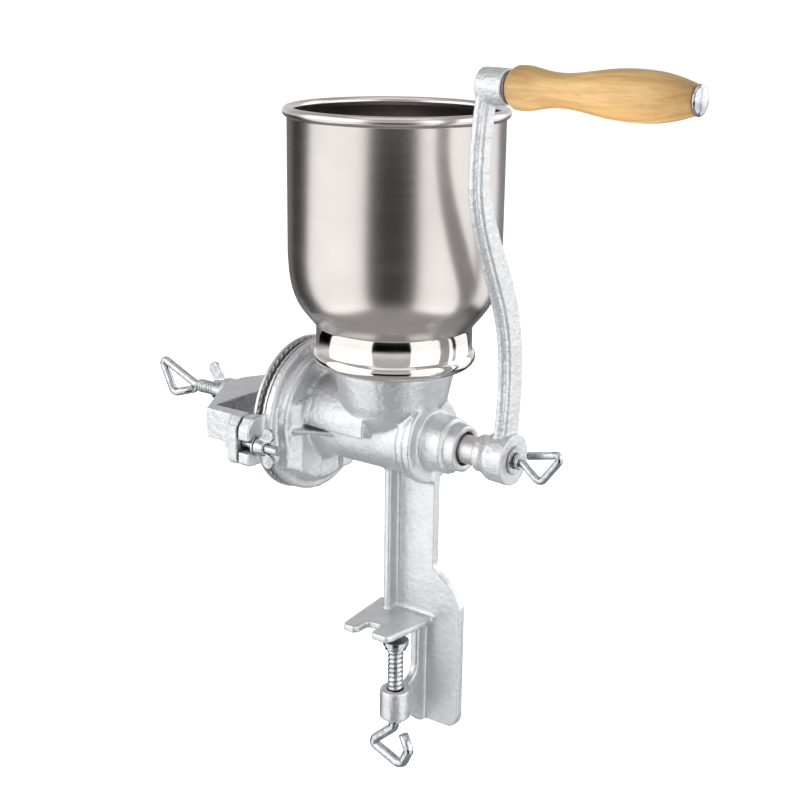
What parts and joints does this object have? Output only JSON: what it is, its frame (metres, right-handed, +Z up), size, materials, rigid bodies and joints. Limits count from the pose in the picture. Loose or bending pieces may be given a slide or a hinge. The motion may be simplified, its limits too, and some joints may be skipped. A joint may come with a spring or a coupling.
{
  "type": "hand crank grain mill",
  "caption": "Clamp-on cast iron grain mill with a steel hopper, a worm-fed disc grinder, a yoke with an adjusting screw and a curved crank with a wooden grip.",
  "frame": {"origin": "on the clamp screw's axis at the underside of the table ledge, where the ledge rests on a worktop", "axes": "+Z up along the hopper's axis, +X along the drive axis towards the crank, -Y towards the worktop"},
  "size_m": [0.3958, 0.1298, 0.4271],
  "materials": {
    "tinned_iron": "tinned, sand-cast satin",
    "dark_iron": "bare, dull",
    "stainless": "satin, polished neck",
    "zinc": "bright zinc plate",
    "wood": "clear lacquer"
  },
  "bodies": {
    "frame": {"body_casting": "tinned_iron", "shaft_bush": "dark_iron", "fixed_plate": "tinned_iron", "plate_screws": "zinc", "yoke": "tinned_iron", "yoke_studs": "zinc"},
    "hopper": {"hopper": "stainless"},
    "rotor": {"auger": "tinned_iron", "rotating_plate": "tinned_iron", "plate_carrier": "dark_iron", "drive_pins": "zinc", "crank_arm": "tinned_iron", "grip_bolt": "zinc", "grip_washer": "dark_iron"},
    "grip": {"wood_grip": "wood"},
    "crank_collar": {"crank_washer": "zinc"},
    "crank_key": {"crank_screw": "zinc"},
    "thrust": {"thrust_ball": "zinc"},
    "adjuster": {"adjusting_screw": "zinc"},
    "lock_nut": {"lock_wing_nut": "zinc"},
    "collar_front": {"washer_front": "zinc"},
    "nut_front": {"wing_nut_front": "zinc"},
    "collar_rear": {"washer_rear": "zinc"},
    "nut_rear": {"wing_nut_rear": "zinc"},
    "clamp_foot": {"clamp_pad": "zinc"},
    "clamp_spindle": {"clamp_screw": "zinc"}
  },
  "joints": [
    {"name": "crank_spin", "type": "hinge", "parent": "frame", "child": "rotor", "pos_m": [0, 0.028, 0.117], "axis": [1, 0, 0], "continuous": true},
    {"name": "grip_spin", "type": "hinge", "parent": "rotor", "child": "grip", "pos_m": [0.09, 0.001, 0.327], "axis": [1, 0, 0], "continuous": true},
    {"name": "hopper_lift", "type": "slide", "parent": "frame", "child": "hopper", "axis": [0, 0, 1], "range_m": [0, 0.04]},
    {"name": "crank_screw_travel", "type": "slide", "parent": "rotor", "child": "crank_collar", "axis": [1, 0, 0], "range_m": [0, 0.012]},
    {"name": "crank_screw_turn", "type": "hinge", "parent": "crank_collar", "child": "crank_key", "pos_m": [0.061, 0.028, 0.117], "axis": [1, 0, 0], "range_deg": [0, 2161]},
    {"name": "adjust_travel", "type": "slide", "parent": "frame", "child": "thrust", "axis": [-1, 0, 0], "range_m": [0, 0.004]},
    {"name": "adjust_turn", "type": "hinge", "parent": "thrust", "child": "adjuster", "pos_m": [-0.165, 0.028, 0.117], "axis": [-1, 0, 0], "range_deg": [0, 721]},
    {"name": "lock_nut_turn", "type": "hinge", "parent": "frame", "child": "lock_nut", "pos_m": [-0.165, 0.028, 0.117], "axis": [-1, 0, 0], "range_deg": [0, 90]},
    {"name": "front_nut_travel", "type": "slide", "parent": "frame", "child": "collar_front", "axis": [1, 0, 0], "range_m": [0, 0.006]},
    {"name": "front_nut_turn", "type": "hinge", "parent": "collar_front", "child": "nut_front", "pos_m": [-0.08, -0.027, 0.1095], "axis": [1, 0, 0], "range_deg": [0, 1441]},
    {"name": "rear_nut_travel", "type": "slide", "parent": "frame", "child": "collar_rear", "axis": [1, 0, 0], "range_m": [0, 0.006]},
    {"name": "rear_nut_turn", "type": "hinge", "parent": "collar_rear", "child": "nut_rear", "pos_m": [-0.08, 0.083, 0.1095], "axis": [1, 0, 0], "range_deg": [0, 1441]},
    {"name": "clamp_travel", "type": "slide", "parent": "frame", "child": "clamp_foot", "axis": [0, 0, -1], "range_m": [0, 0.02]},
    {"name": "clamp_turn", "type": "hinge", "parent": "clamp_foot", "child": "clamp_spindle", "pos_m": [0, 0, -0.05], "axis": [0, 0, -1], "range_deg": [0, 2401]}
  ],
  "couplings": [
    {"joint": "crank_screw_turn", "follows": "crank_screw_travel", "rad_per_m": 3141.6},
    {"joint": "adjust_turn", "follows": "adjust_travel", "rad_per_m": 3141.6},
    {"joint": "front_nut_turn", "follows": "front_nut_travel", "rad_per_m": 4188.8},
    {"joint": "rear_nut_turn", "follows": "rear_nut_travel", "rad_per_m": 4188.8},
    {"joint": "clamp_turn", "follows": "clamp_travel", "rad_per_m": 2094.4}
  ]
}
